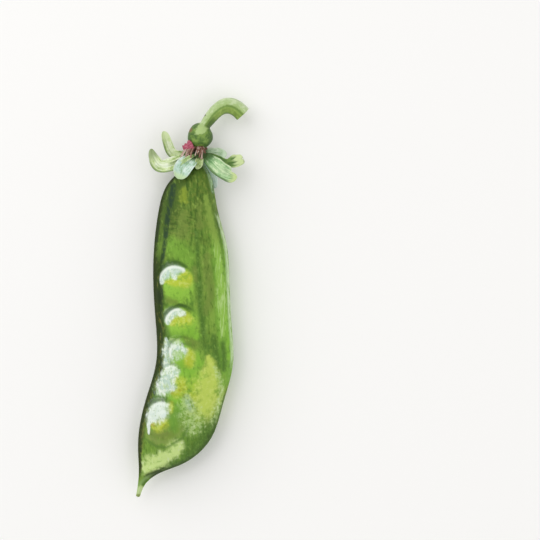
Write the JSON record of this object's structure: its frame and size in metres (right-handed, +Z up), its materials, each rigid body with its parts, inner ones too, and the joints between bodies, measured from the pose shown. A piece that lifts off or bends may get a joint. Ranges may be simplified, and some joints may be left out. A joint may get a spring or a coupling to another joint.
{
  "type": "pea pod",
  "caption": "Plump garden pea pod as picked, lying on its side: swollen by its peas, curved beak, flared calyx with the dried flower, and a hooked stalk with a cut end.",
  "frame": {"origin": "on the surface that the pod lies on, under the middle of the whole part's bounding box", "axes": "+Y along the pod from the beak towards the stalk, +X towards the bowed dorsal side, +Z up from the surface"},
  "size_m": [0.028, 0.0998, 0.0119],
  "materials": {
    "pod_skin": "waxy green skin, satin, with a pale bloom over the peas",
    "calyx_leaf": "matt pale green leaf",
    "stalk_skin": "satin green stalk",
    "petal_pink": "matt dried petal",
    "dry_strand": "matt dried brown"
  },
  "bodies": {
    "root": {"pod": "pod_skin", "calyx": "calyx_leaf", "stalk": "stalk_skin", "withered_petal": "petal_pink", "withered_stamens": "dry_strand"}
  },
  "joints": []
}
